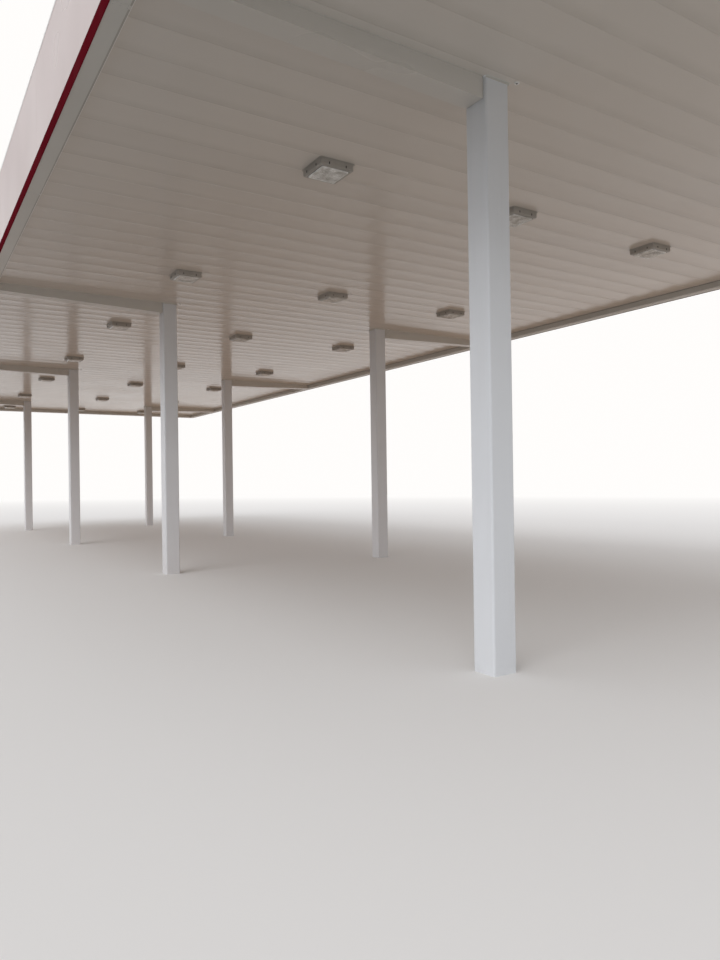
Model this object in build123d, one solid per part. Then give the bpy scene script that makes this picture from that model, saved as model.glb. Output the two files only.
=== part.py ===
from build123d import *
import math
import os

# Filling station canopy: two rows of square columns, a flat roof deck of long metal pans,
# a gutter all round, and a tall fascia with a red band along its foot.
# Millimetres. Origin: centre of the plan, on the ground. +X right, +Y back, +Z up.

# Plan
pan_pitch = 406.4           # cover width of one deck pan
pan_count = 21              # pans from one column line to the next
bays = 3
row_spacing = 4572.0        # between the centres of the two column rows
side_overhang = 2990.0      # column centre to the outer face, left and right
end_overhang = 3048.0       # column centre to the outer face, front and back

# Heights
clear_height = 4780.0       # ground to the underside of the gutter
gutter_depth = 105.0        # underside of the gutter up to the deck soffit
fascia_height = 1078.0

# Columns: square tube, with a cap plate between the tube and the beam
column_size = 254.0
column_wall = 9.5
column_corner = 22.0
cap_plate_size = 330.0
cap_plate_thickness = 19.0

# Deck pans: shallow troughs with upstanding legs
pan_sheet = 2.0
pan_depth = 76.0
pan_gap = 2.0               # open joint between two pans
pan_bevel_width = 14.0      # folded edge along each joint
pan_bevel_rise = 2.0
pan_lap = 30.0              # how far a pan reaches past the gutter's inner wall
narrowest_pan = 40.0        # a cut pan at an end of the deck is left out below this
column_clearance = 3.0      # around a column where it passes a pan

# Purlins, edge beams and cross beams
purlin_depth = 254.0
purlin_width = 127.0
purlin_flange = 9.0
purlin_web = 6.5
purlin_share = (0.25, 0.75)  # places of the purlins, as shares of the row spacing
edge_beam_width = 76.0
edge_beam_sheet = 8.0
cross_beam_depth = 406.0
cross_beam_width = 178.0
cross_beam_flange = 13.0
cross_beam_web = 8.0

# Fascia: folded panels on a tube frame, with a red band at the foot
band_height = 133.0
band_sheet = 3.0
fascia_sheet = 4.0
fascia_return = 70.0        # folded edge along the top of a panel
panel_limit = 3200.0        # longest panel
panel_gap = 4.0
mitre_gap = 2.0             # taken off each end of a mitred side
frame_tube = 50.0
frame_foot = 20.0           # frame starts this far above the gutter's outer wall
frame_rails = 2             # rails under the top one
posts_per_panel = 2

# Gutter
gutter_width = 135.0
gutter_sheet = 3.0
gutter_back_rise = 40.0     # outer wall reaches this far above the deck soffit

# Leaders: boxes under the deck that drain the gutter into the columns
leader_inset = 22.0         # leader side set back from the column's side
leader_drop = 180.0         # depth below the soffit, beside the column
leader_mouth = 112.0        # depth below the soffit, beside the gutter
leader_sheet = 3.0
neck_length = 26.0          # narrower end that enters the column
neck_inset = 9.0

# Lights
light_size = 396.0
light_height = 70.0
light_corner = 24.0
light_flange = 10.0         # narrow lip of the housing against the deck
light_flange_height = 6.0
lens_size = 320.0
lens_depth = 16.0
lens_taper = 24.0           # degrees, slope of the lens sides
light_pans = 5              # pans from a column line to its lights
light_row_offset = 2648.0   # side rows, from the centre line

butt_gap = 2.0              # where an end piece stands between two side pieces
joint_gap = 0.3             # between pieces that are seated on each other
cut_margin = 1.0            # how far a cutting shape stands past what it cuts

# Worked out
bay_pitch = pan_count * pan_pitch
column_lines = [bay_pitch * (i - bays / 2) for i in range(bays + 1)]
column_rows = {"left": -row_spacing / 2, "right": row_spacing / 2}
half_width = row_spacing / 2 + side_overhang
half_length = bays * bay_pitch / 2 + end_overhang

soffit = clear_height + gutter_depth
pan_top = soffit + pan_depth
purlin_top = pan_top + purlin_depth
column_top = purlin_top - cap_plate_thickness
fascia_top = clear_height + fascia_height

# Depths inward from the outer face, layer by layer
fascia_face = band_sheet
fascia_back = fascia_face + fascia_sheet
frame_back = fascia_back + frame_tube
gutter_inner = fascia_back + gutter_width
deck_edge = gutter_inner - gutter_sheet - pan_lap

sides = {"left": 0.0, "front": 90.0, "right": 180.0, "back": 270.0}


def half_depth(side):
    """Distance from the centre to the outer face on that side."""
    return half_width if side in ("left", "right") else half_length


def run_length(side, start, thickness):
    """Length of a piece that lies between two depths; ends stand between the sides."""
    if side in ("left", "right"):
        return 2 * (half_length - start)
    return 2 * (half_width - start - thickness - butt_gap)


def box(x0, x1, y0, y1, z0, z1):
    size = (x1 - x0, y1 - y0, z1 - z0)
    return Pos(x0 + size[0] / 2, y0 + size[1] / 2, z0 + size[2] / 2) * Box(*size)


def profile_run(points, low, high):
    """A closed outline in X and Z, drawn out along Y from low to high."""
    outline = Polyline(*[(x, low, z) for x, z in points], close=True)
    return extrude(make_face(outline), amount=high - low, dir=(0, 1, 0))


def on_side(side, shape):
    """Turn a piece made for the left side to the side it belongs to."""
    return Rot(0, 0, sides[side]) * shape


def side_profile(side, points, low, high):
    """Run of an outline given by depth from the outer face and height."""
    left_edge = -half_depth(side)
    shape = profile_run([(left_edge + depth, z) for depth, z in points], low, high)
    return on_side(side, shape)


def write(name, solids):
    solids = solids if isinstance(solids, list) else [solids]
    shape = solids[0] if len(solids) == 1 else Compound(children=solids)
    shape.label = name
    export_step(shape, os.path.join("parts", name + ".step"))


# Columns

def column(x, y):
    outer = RectangleRounded(column_size, column_size, column_corner)
    bore_size = column_size - 2 * column_wall
    bore = RectangleRounded(bore_size, bore_size, column_corner - column_wall)
    return Pos(x, y, 0) * extrude(outer - bore, amount=column_top)


def cap_plate(x, y):
    plate = extrude(Rectangle(cap_plate_size, cap_plate_size), amount=cap_plate_thickness)
    return Pos(x, y, column_top) * plate


# Deck

def pan(y0, y1):
    """One pan across the whole deck, between two joints, with its edges folded up to the legs."""
    low = y0 + pan_gap / 2
    high = y1 - pan_gap / 2
    reach = half_width - deck_edge
    fold = soffit + pan_bevel_rise
    inside = pan_bevel_width + pan_sheet / 2
    outline = [
        (low + pan_bevel_width, soffit), (high - pan_bevel_width, soffit), (high, fold), (high, pan_top),
        (high - pan_sheet, pan_top), (high - pan_sheet, fold + pan_sheet),
        (high - inside, soffit + pan_sheet), (low + inside, soffit + pan_sheet),
        (low + pan_sheet, fold + pan_sheet), (low + pan_sheet, pan_top), (low, pan_top), (low, fold),
    ]
    face = make_face(Polyline(*[(-reach, y, z) for y, z in outline], close=True))
    return extrude(face, amount=2 * reach, dir=(1, 0, 0))


def column_holes(y):
    half = column_size / 2 + column_clearance
    low = soffit - cut_margin
    return [box(x - half, x + half, y - half, y + half, low, pan_top) for x in column_rows.values()]


def deck_sections():
    """Pans grouped by the column lines; the pan on a line goes with the bay in front of it."""
    deck_end = half_length - deck_edge
    stops = [-deck_end] + [y + pan_pitch / 2 for y in column_lines] + [deck_end]
    sections = []
    for start, stop in zip(stops[:-1], stops[1:]):
        first = math.floor((start - column_lines[0]) / pan_pitch + 0.5)
        pans = []
        while True:
            y0 = max(start, column_lines[0] + (first - 0.5) * pan_pitch)
            y1 = min(stop, column_lines[0] + (first + 0.5) * pan_pitch)
            first += 1
            if y0 >= stop - pan_gap:
                break
            if y1 - y0 > narrowest_pan:
                pans.append(pan(y0, y1))
        line = [y for y in column_lines if start < y < stop]
        if line:
            pans[-1] = pans[-1] - column_holes(line[0])
        sections.append(pans)
    return sections


# Steel above the deck

def i_outline(depth, width, flange, web, base):
    half = width / 2
    thin = web / 2
    low = base + flange
    high = base + depth - flange
    return [
        (-half, base), (half, base), (half, low), (thin, low), (thin, high), (half, high),
        (half, base + depth), (-half, base + depth), (-half, high), (-thin, high),
        (-thin, low), (-half, low),
    ]


def purlin(x):
    reach = half_length - frame_back - edge_beam_width - joint_gap
    outline = i_outline(purlin_depth, purlin_width, purlin_flange, purlin_web, pan_top)
    return profile_run([(x + s, z) for s, z in outline], -reach, reach)


def edge_beam(side):
    """Channel with its back against the fascia frame and its flanges inward."""
    back = frame_back
    lip = frame_back + edge_beam_width
    web = frame_back + edge_beam_sheet
    low = pan_top + edge_beam_sheet
    high = purlin_top - edge_beam_sheet
    outline = [(back, pan_top), (lip, pan_top), (lip, low), (web, low),
               (web, high), (lip, high), (lip, purlin_top), (back, purlin_top)]
    half = run_length(side, back, edge_beam_width) / 2
    return side_profile(side, outline, -half, half)


def cross_beam(y):
    reach = half_width - frame_back - joint_gap
    outline = i_outline(cross_beam_depth, cross_beam_width, cross_beam_flange, cross_beam_web, purlin_top)
    beam = profile_run(outline, -reach, reach)
    return Pos(0, y, 0) * Rot(0, 0, 90) * beam


# Gutter

def gutter(side):
    outer = fascia_back
    inner = gutter_inner
    floor = clear_height + gutter_sheet
    back_top = soffit + gutter_back_rise
    outline = [
        (outer, clear_height), (inner, clear_height), (inner, soffit), (inner - gutter_sheet, soffit),
        (inner - gutter_sheet, floor), (outer + gutter_sheet, floor),
        (outer + gutter_sheet, back_top), (outer, back_top),
    ]
    half = run_length(side, outer, gutter_width) / 2
    return side_profile(side, outline, -half, half)


def leader(x_sign, y):
    """Drain box from the gutter to the column, with its floor falling towards the column."""
    start = row_spacing / 2 + column_size / 2 + joint_gap
    end = half_width - gutter_inner - joint_gap
    neck = start + neck_length
    deep = soffit - leader_drop
    shallow = soffit - leader_mouth
    half = column_size / 2 - leader_inset
    past_top = soffit + cut_margin
    box_outer = [(neck, soffit), (end, soffit), (end, shallow), (neck, deep)]
    box_inner = [(neck - cut_margin, past_top), (end + cut_margin, past_top),
                 (end + cut_margin, shallow + leader_sheet), (neck - cut_margin, deep + leader_sheet)]
    hollow = profile_run(box_inner, leader_sheet - half, half - leader_sheet)
    body = profile_run(box_outer, -half, half) - hollow
    neck_half = half - neck_inset
    neck_floor = deep + neck_inset
    neck_outer = [(start, soffit), (neck + leader_sheet, soffit),
                  (neck + leader_sheet, neck_floor), (start, neck_floor)]
    neck_inner = [(start - cut_margin, past_top), (neck + 2 * leader_sheet, past_top),
                  (neck + 2 * leader_sheet, neck_floor + leader_sheet),
                  (start - cut_margin, neck_floor + leader_sheet)]
    sleeve = profile_run(neck_outer, -neck_half, neck_half)
    shoulder = box(neck, neck + leader_sheet, -half, half, deep, soffit)
    passage = profile_run(neck_inner, leader_sheet - neck_half, neck_half - leader_sheet)
    shape = (body + shoulder + sleeve) - passage
    if x_sign < 0:
        shape = Rot(0, 0, 180) * shape
    return Pos(0, y, 0) * shape


# Fascia

def panel_count(side):
    length = 2 * (half_length if side in ("left", "right") else half_width)
    return math.ceil(length / panel_limit)


def mitre_wedge(side):
    """Plan region of one side between the two mitre planes at its corners."""
    edge = -half_depth(side)
    end = half_length if side in ("left", "right") else half_width
    end -= mitre_gap
    reach = fascia_face + fascia_return + butt_gap
    corners = [(edge, -end), (edge, end), (edge + reach, end - reach), (edge + reach, reach - end)]
    base = make_face(Polyline(*[(x, y, clear_height) for x, y in corners], close=True))
    return on_side(side, extrude(base, amount=fascia_height, dir=(0, 0, 1)))


def fascia(side):
    count = panel_count(side)
    length = 2 * (half_length if side in ("left", "right") else half_width)
    pitch = length / count
    fold = fascia_face + fascia_return
    outline = [(fascia_face, clear_height), (fascia_back, clear_height),
               (fascia_back, fascia_top - fascia_sheet), (fold, fascia_top - fascia_sheet),
               (fold, fascia_top), (fascia_face, fascia_top)]
    panels = []
    for i in range(count):
        low = -length / 2 + i * pitch
        start = low + panel_gap / 2
        stop = low + pitch - panel_gap / 2
        panel = side_profile(side, outline, start, stop)
        if i in (0, count - 1):
            panel = panel & mitre_wedge(side)
        panels.append(panel)
    return panels


def band(side):
    outline = [(0, clear_height), (band_sheet, clear_height),
               (band_sheet, clear_height + band_height), (0, clear_height + band_height)]
    half = run_length(side, 0, band_sheet) / 2
    return side_profile(side, outline, -half, half)


def fascia_frame(side):
    """Posts and rails of square tube behind the panels."""
    foot = soffit + gutter_back_rise + frame_foot
    top = fascia_top - fascia_sheet
    length = run_length(side, fascia_back, frame_tube)
    posts = panel_count(side) * posts_per_panel
    left = -half_depth(side)
    x0 = left + fascia_back
    x1 = left + frame_back
    frame = box(x0, x1, -length / 2, length / 2, top - frame_tube, top)
    for i in range(frame_rails):
        z = foot + (top - frame_tube - foot) * i / frame_rails
        frame += box(x0, x1, -length / 2, length / 2, z, z + frame_tube)
    for i in range(posts + 1):
        y = (length - frame_tube) * (i / posts - 0.5)
        frame += box(x0, x1, y - frame_tube / 2, y + frame_tube / 2, foot, top)
    return on_side(side, frame)


# Lights

def light_places():
    rows = (-light_row_offset, 0.0, light_row_offset)
    offset = light_pans * pan_pitch
    return [(x, y + step) for x in rows for y in column_lines for step in (-offset, offset)]


def light_housing(x, y):
    lip = light_size + 2 * light_flange
    body = extrude(RectangleRounded(light_size, light_size, light_corner), amount=-light_height)
    edge = body.edges().group_by(Axis.Z)[0]
    body = fillet(edge, light_flange)
    flange = extrude(RectangleRounded(lip, lip, light_corner), amount=-light_flange_height)
    return Pos(x, y, soffit) * (body + flange)


def light_lens(x, y):
    lens = extrude(RectangleRounded(lens_size, lens_size, light_corner), amount=-lens_depth, taper=lens_taper)
    return Pos(x, y, soffit - light_height) * lens


# Write the pieces

os.makedirs("parts", exist_ok=True)

for row, x in column_rows.items():
    for number, y in enumerate(column_lines, 1):
        write(f"column_{row}_{number}", column(x, y))

write("cap_plates", [cap_plate(x, y) for x in column_rows.values() for y in column_lines])
write("drain_leaders", [leader(sign, y) for sign in (-1, 1) for y in column_lines])

section_names = ["deck_front"] + [f"deck_bay_{i + 1}" for i in range(bays)] + ["deck_back"]
for name, pans in zip(section_names, deck_sections()):
    write(name, pans)

for number, y in enumerate(column_lines, 1):
    write(f"cross_beam_{number}", cross_beam(y))

purlin_rows = sorted(sign * share * row_spacing for share in purlin_share for sign in (-1, 1))
for number, x in enumerate(purlin_rows, 1):
    write(f"purlin_{number}", purlin(x))

for side in sides:
    write(f"edge_beam_{side}", edge_beam(side))
    write(f"gutter_{side}", gutter(side))
    write(f"fascia_{side}", fascia(side))
    write(f"red_band_{side}", band(side))
    write(f"fascia_frame_{side}", fascia_frame(side))

write("light_housings", [light_housing(x, y) for x, y in light_places()])
write("light_lenses", [light_lens(x, y) for x, y in light_places()])
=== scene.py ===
import math

import bmesh
import bpy
from mathutils import Euler, Matrix, Vector


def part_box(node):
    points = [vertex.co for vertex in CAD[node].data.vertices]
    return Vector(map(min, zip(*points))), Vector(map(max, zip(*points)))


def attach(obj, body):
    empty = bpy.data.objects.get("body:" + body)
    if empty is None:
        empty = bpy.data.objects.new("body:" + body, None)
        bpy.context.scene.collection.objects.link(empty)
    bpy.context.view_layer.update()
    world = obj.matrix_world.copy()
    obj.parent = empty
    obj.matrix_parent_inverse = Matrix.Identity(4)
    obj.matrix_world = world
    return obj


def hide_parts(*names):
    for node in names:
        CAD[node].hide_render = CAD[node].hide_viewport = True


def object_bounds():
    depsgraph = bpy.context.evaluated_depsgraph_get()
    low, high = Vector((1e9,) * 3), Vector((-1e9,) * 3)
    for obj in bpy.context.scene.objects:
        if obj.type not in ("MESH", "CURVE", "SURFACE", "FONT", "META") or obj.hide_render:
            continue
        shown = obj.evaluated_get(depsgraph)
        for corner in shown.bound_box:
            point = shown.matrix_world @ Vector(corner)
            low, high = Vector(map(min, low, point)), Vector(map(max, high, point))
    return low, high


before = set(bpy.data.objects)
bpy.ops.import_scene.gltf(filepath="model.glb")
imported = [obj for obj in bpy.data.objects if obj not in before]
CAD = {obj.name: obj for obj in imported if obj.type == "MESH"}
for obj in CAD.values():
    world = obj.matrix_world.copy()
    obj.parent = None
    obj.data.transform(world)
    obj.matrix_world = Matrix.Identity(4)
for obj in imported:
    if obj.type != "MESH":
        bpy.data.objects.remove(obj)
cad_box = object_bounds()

# Filling station canopy, dressed for the camera: paints, light fittings, trims, fasteners and roof steel.
# Metres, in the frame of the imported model: +X right, +Y back, +Z up, ground at zero.

MM = 0.001
SIDES = ("left", "front", "right", "back")
MERGE_DISTANCE = 0.02 * MM

# Camera, as solved from the photograph
CAMERA_PLACE = (-6.483, -17.380, 1.579)
CAMERA_YAW = 32.27
CAMERA_PITCH = 0.30
CAMERA_ROLL = -0.80
CAMERA_LENS = 27.49
CAMERA_CLIP = (0.05, 1000.0)
FILM_LONG_SIDE = 36.0


# Places read from the frame

def islands(node):
    """Lowest and highest corner of each separate solid in one CAD node."""
    bm = bmesh.new()
    bm.from_mesh(CAD[node].data)
    bmesh.ops.remove_doubles(bm, verts=bm.verts, dist=MERGE_DISTANCE)
    seen = set()
    boxes = []
    for first in bm.verts:
        if first in seen:
            continue
        seen.add(first)
        group = [first]
        for vert in group:
            for edge in vert.link_edges:
                other = edge.other_vert(vert)
                if other not in seen:
                    seen.add(other)
                    group.append(other)
        low = Vector([min(v.co[i] for v in group) for i in range(3)])
        high = Vector([max(v.co[i] for v in group) for i in range(3)])
        boxes.append((low, high))
    bm.free()
    return boxes


COLUMN_NUMBERS = range(1, 5)
COLUMNS = {(row, i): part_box(f"column_{row}_{i}") for row in ("left", "right") for i in COLUMN_NUMBERS}
COLUMN_SIZE = COLUMNS["left", 1][1].x - COLUMNS["left", 1][0].x
HOUSINGS = islands("light_housings")
LENSES = islands("light_lenses")
LEADERS = islands("drain_leaders")
CAP_PLATES = islands("cap_plates")
DECK_SECTIONS = ["deck_front", "deck_bay_1", "deck_bay_2", "deck_bay_3", "deck_back"]
PANS = sorted((box for name in DECK_SECTIONS for box in islands(name)), key=lambda box: box[0].y)
PAN_JOINTS = [(first[1].y + second[0].y) / 2 for first, second in zip(PANS[:-1], PANS[1:])]
FIRST_BAY_PAN = 9
PAN_START = PANS[FIRST_BAY_PAN][0].y
PAN_PITCH = PANS[FIRST_BAY_PAN + 1][0].y - PAN_START
SOFFIT = PANS[0][0].z
PAN_TOP = PANS[0][1].z
PAN_ENDS = (PANS[0][0].x, PANS[0][1].x)
HALF_WIDTH = cad_box[1][0]
HALF_LENGTH = cad_box[1][1]


# Node helpers

def add(tree, kind, inputs=None, **settings):
    """Add a shader node; an input is a value or another node's output socket."""
    node = tree.nodes.new("ShaderNode" + kind)
    for key, value in settings.items():
        setattr(node, key, value)
    for key, value in (inputs or {}).items():
        if isinstance(value, bpy.types.NodeSocket):
            tree.links.new(value, node.inputs[key])
        else:
            node.inputs[key].default_value = value
    return node


def position(tree, scale=(1, 1, 1)):
    place = add(tree, "TexCoord").outputs["Object"]
    return add(tree, "Mapping", {"Vector": place, "Scale": scale}).outputs[0]


def axis(tree, name):
    return add(tree, "SeparateXYZ", {0: add(tree, "TexCoord").outputs["Object"]}).outputs[name]


def maths(tree, operation, first, second=0.0, clamp=False):
    return add(tree, "Math", {0: first, 1: second}, operation=operation, use_clamp=clamp).outputs[0]


def times(tree, first, second, clamp=False):
    return maths(tree, "MULTIPLY", first, second, clamp)


def noise(tree, scale, detail=3.0, roughness=0.5, stretch=(1, 1, 1)):
    inputs = {"Vector": position(tree, stretch), "Scale": scale, "Detail": detail, "Roughness": roughness}
    return add(tree, "TexNoise", inputs).outputs[0]


def between(tree, value, low, high, to_low=0.0, to_high=1.0):
    """Value remapped from one range to another, clamped."""
    inputs = {"Value": value, "From Min": low, "From Max": high, "To Min": to_low, "To Max": to_high}
    return add(tree, "MapRange", inputs).outputs[0]


def blend(tree, factor, first, second):
    inputs = {0: factor, 6: first, 7: second}
    return add(tree, "Mix", inputs, data_type="RGBA").outputs[2]


def shade(colour, amount):
    """The colour made darker or lighter by one factor, with full alpha."""
    return tuple(min(1.0, part * amount) for part in colour[:3]) + (1.0,)


def new_material(name, colour, roughness, metallic=0.0, specular=0.5):
    material = bpy.data.materials.new(name)
    material.use_nodes = True
    tree = material.node_tree
    shader = tree.nodes["Principled BSDF"]
    shader.inputs["Base Color"].default_value = shade(colour, 1.0)
    shader.inputs["Roughness"].default_value = roughness
    shader.inputs["Metallic"].default_value = metallic
    shader.inputs["Specular IOR Level"].default_value = specular
    return material, tree, shader


# Paints

NOISE_SPAN = (0.3, 0.7)
# Dark brown of dirt; lightened a little, it also gives the painted shade along the back edge of each deck
# pan.
GRIME_AND_SHADE = (0.20, 0.18, 0.15, 1.0)
FADED_RED = (0.30, 0.20, 0.19, 1.0)
SCUFF_GREY = (0.28, 0.28, 0.29, 1.0)
RUST = ((0.16, 0.075, 0.04, 1.0), (0.30, 0.15, 0.08, 1.0))
RUBBER = ((0.025, 0.024, 0.023, 1.0), (0.06, 0.056, 0.052, 1.0))
LENS_DUST = (0.45, 0.41, 0.35, 1.0)
LENS_IOR = 1.49
SPLASH_HEIGHT = 0.55
BUMPER_FROM = (0.25, 0.5)
BUMPER_TO = (0.8, 1.3)
ORANGE_PEEL_SCALE = 260.0
ORANGE_PEEL_HEIGHT = 0.06 * MM
PRIMER_GRAIN_HEIGHT = 0.12 * MM
COLUMN_WAVE = 1.0 * MM
FASCIA_WAVE = 1.5 * MM
PAN_BOW = 3.5 * MM
PAN_WAVE_SHARE = 0.8
# Share of each pan's depth that is darkened along its back edge: painted shade, with a little dust.
PAN_BACK_EDGE_DUST_AND_SHADE = (0.68, 0.98)


def colour_by(tree, shader, socket):
    tree.links.new(socket, shader.inputs["Base Color"])


def roughness_by(tree, shader, pattern, low, high):
    """Let a noise swing the roughness between two values."""
    tree.links.new(between(tree, pattern, *NOISE_SPAN, low, high), shader.inputs["Roughness"])


def relief_by(tree, shader, height, distance):
    """Let a pattern stand out by a distance in the shading."""
    inputs = {"Height": height, "Distance": distance, "Strength": 1.0}
    tree.links.new(add(tree, "Bump", inputs).outputs[0], shader.inputs["Normal"])


def cloudy(tree, colour, scale, swing):
    """A paint's slow changes of tone, as a colour socket."""
    cloud = between(tree, noise(tree, scale, 4.0, 0.55), *NOISE_SPAN)
    return blend(tree, cloud, shade(colour, 1.0 - swing), shade(colour, 1.0 + swing))


def painted(name, colour, roughness, swing, streaks, peel, scale=1.6, detail=1.0):
    """Factory paint: slow tone changes, faint runs of dirt, fine orange peel."""
    material, tree, shader = new_material(name, colour, roughness)
    tone = cloudy(tree, colour, 0.6, swing)
    runs = noise(tree, scale, detail, stretch=(1.0, 1.0, 0.09))
    colour_by(tree, shader, blend(tree, between(tree, runs, 0.5, 0.8, 0.0, streaks), tone, GRIME_AND_SHADE))
    roughness_by(tree, shader, noise(tree, scale / 2, detail), roughness - 0.05, roughness + 0.07)
    relief_by(tree, shader, noise(tree, ORANGE_PEEL_SCALE, 2.0), ORANGE_PEEL_HEIGHT * peel)
    return material


def column_paint():
    """White semi-gloss paint with splashed dirt at the foot and scuffs at bumper height."""
    colour = (0.76, 0.78, 0.815)
    material, tree, shader = new_material("column_white_paint", colour, 0.34)
    height = axis(tree, "Z")
    runs = noise(tree, 11.0, 5.0, 0.6, (1.0, 1.0, 0.06))
    stained = blend(tree, between(tree, runs, 0.55, 0.8, 0.0, 0.05), cloudy(tree, colour, 1.1, 0.02), GRIME_AND_SHADE)
    foot = maths(tree, "POWER", between(tree, height, 0.0, SPLASH_HEIGHT, 1.0, 0.0), 4.0)
    splash = times(tree, foot, between(tree, noise(tree, 9.0, 6.0, 0.65), 0.4, 0.7), True)
    splashed = blend(tree, times(tree, splash, 0.09), stained, GRIME_AND_SHADE)
    zone = times(tree, between(tree, height, *BUMPER_FROM), between(tree, height, *BUMPER_TO, 1.0, 0.0))
    scuffs = times(tree, between(tree, noise(tree, 60.0, 2.0, stretch=(1.0, 1.0, 6.0)), 0.68, 0.74), zone)
    colour_by(tree, shader, blend(tree, times(tree, scuffs, 0.22), splashed, SCUFF_GREY))
    roughness_by(tree, shader, noise(tree, 6.0, 4.0, 0.6), 0.28, 0.42)
    relief_by(tree, shader, noise(tree, 3.0, 2.0), COLUMN_WAVE)
    return material


def deck_paint():
    """Gloss white pans: each pan bows a little, has its own tone, and is darker along its back edge, partly
    from dust and partly from painted shade.
    """
    colour = (0.74, 0.70, 0.66)
    material, tree, shader = new_material("deck_white_paint", colour, 0.22, specular=0.24)
    along = maths(tree, "DIVIDE", maths(tree, "SUBTRACT", axis(tree, "Y"), PAN_START), PAN_PITCH)
    number = maths(tree, "FLOOR", along)
    share = maths(tree, "FRACT", along)
    own = add(tree, "TexWhiteNoise", {"W": number}, noise_dimensions="1D").outputs["Value"]
    tone = blend(tree, own, shade(colour, 0.975), shade(colour, 1.02))
    cloud = between(tree, noise(tree, 0.5, 4.0, 0.55), 0.35, 0.7, 0.0, 0.35)
    tone = blend(tree, cloud, tone, shade(colour, 0.93))
    # Painted shade with some dust: each pan darkens towards its back edge, by an amount that varies in
    # grains.
    dust_and_shade_amount = between(tree, noise(tree, 2.2, 5.0, 0.6), 0.35, 0.75, 0.09, 0.21)
    dust = times(tree, between(tree, share, *PAN_BACK_EDGE_DUST_AND_SHADE), dust_and_shade_amount)
    colour_by(tree, shader, blend(tree, dust, tone, shade(GRIME_AND_SHADE, 1.6)))
    roughness_by(tree, shader, noise(tree, 0.8, 2.0), 0.14, 0.21)
    edge = maths(tree, "ABSOLUTE", maths(tree, "SUBTRACT", share, 0.5))
    bow = times(tree, times(tree, edge, edge), 4.0)
    waves = times(tree, noise(tree, 1.2, 1.0, stretch=(0.35, 1.0, 1.0)), PAN_WAVE_SHARE)
    relief_by(tree, shader, maths(tree, "ADD", bow, waves), PAN_BOW)
    return material


def fascia_paint():
    """Gloss composite panels with soft changes of tone and a slight wave; their pink tint is painted light of
    the evening sky.
    """
    # Painted light: the pink in this near-white colour is the tint of the evening sky on the panels.
    colour = (0.62, 0.525, 0.515)
    material, tree, shader = new_material("fascia_white_paint", colour, 0.3, specular=0.12)
    runs = noise(tree, 1.6, 1.0, stretch=(1.0, 1.0, 0.2))
    dirt = between(tree, runs, 0.5, 0.85, 0.0, 0.08)
    colour_by(tree, shader, blend(tree, dirt, cloudy(tree, colour, 0.35, 0.05), GRIME_AND_SHADE))
    roughness_by(tree, shader, noise(tree, 0.8, 2.0), 0.26, 0.36)
    relief_by(tree, shader, noise(tree, 0.8, 0.0, stretch=(1.0, 1.0, 0.4)), FASCIA_WAVE)
    return material


def red_paint():
    """Deep red film, faded in patches; its base colour is darkened further to the band's look in shade, a
    painted shade.
    """
    # Painted shade: this base colour is the band as it looks in shade, well darker than the film's own red.
    colour = (0.098, 0.006, 0.011)
    material, tree, shader = new_material("band_red_paint", colour, 0.55, specular=0.0)
    faded = between(tree, noise(tree, 4.0, 5.0, 0.6, (1.0, 1.0, 0.3)), 0.5, 0.85, 0.0, 0.06)
    colour_by(tree, shader, blend(tree, faded, cloudy(tree, colour, 0.9, 0.12), FADED_RED))
    roughness_by(tree, shader, noise(tree, 3.0), 0.5, 0.62)
    return material


def primer_paint():
    """Matt grey primer with scuffed patches and thin rust bleeding where it is worn."""
    colour = (0.33, 0.34, 0.35)
    material, tree, shader = new_material("primed_steel_paint", colour, 0.6)
    worn = between(tree, noise(tree, 7.0, 6.0, 0.7), 0.63, 0.72, 0.0, 0.6)
    rusty = blend(tree, noise(tree, 40.0), *RUST)
    colour_by(tree, shader, blend(tree, worn, cloudy(tree, colour, 1.4, 0.10), rusty))
    roughness_by(tree, shader, noise(tree, 12.0, 4.0, 0.6), 0.52, 0.75)
    relief_by(tree, shader, noise(tree, 380.0), PRIMER_GRAIN_HEIGHT)
    return material


def zinc_metal():
    """Galvanised steel with its spangle."""
    colour = (0.52, 0.53, 0.54)
    material, tree, shader = new_material("zinc_steel", colour, 0.42, metallic=0.85)
    cells = add(tree, "TexVoronoi", {"Vector": position(tree), "Scale": 70.0}).outputs["Color"]
    spangle = add(tree, "SeparateXYZ", {0: cells}).outputs["X"]
    colour_by(tree, shader, blend(tree, spangle, shade(colour, 0.8), shade(colour, 1.15)))
    tree.links.new(between(tree, spangle, 0.0, 1.0, 0.34, 0.55), shader.inputs["Roughness"])
    return material


def dark_rubber():
    material, tree, shader = new_material("dark_gasket", (0.035, 0.034, 0.033), 0.6)
    colour_by(tree, shader, blend(tree, noise(tree, 30.0, 4.0), *RUBBER))
    return material


def lens_plastic():
    """Pale prismatic lens under a clear gloss, with painted reflection and glints: bright and dull patches
    stand for the reflector and lamp seen through the prisms.
    """
    colour = (0.92, 0.87, 0.80)
    material, tree, shader = new_material("lens_acrylic", colour, 0.2)
    shader.inputs["IOR"].default_value = LENS_IOR
    shader.inputs["Coat Weight"].default_value = 0.6
    shader.inputs["Coat Roughness"].default_value = 0.08
    # Painted reflection and highlights: each prism and a slow noise lighten or darken the lens colour, as the
    # reflector and lamp behind it would look.
    prism = add(tree, "NewGeometry").outputs["Random Per Island"]
    painted_glints = between(tree, noise(tree, 12.0, 1.0), 0.33, 0.67, 0.0, 0.6)
    painted_glint_mask = maths(tree, "ADD", times(tree, prism, 0.4), painted_glints)
    tone = blend(tree, painted_glint_mask, shade(colour, 0.46), shade(colour, 1.24))
    dust = between(tree, noise(tree, 26.0, 5.0, 0.65), 0.55, 0.8, 0.0, 0.2)
    colour_by(tree, shader, blend(tree, dust, tone, LENS_DUST))
    roughness_by(tree, shader, noise(tree, 50.0), 0.14, 0.3)
    return material


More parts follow.
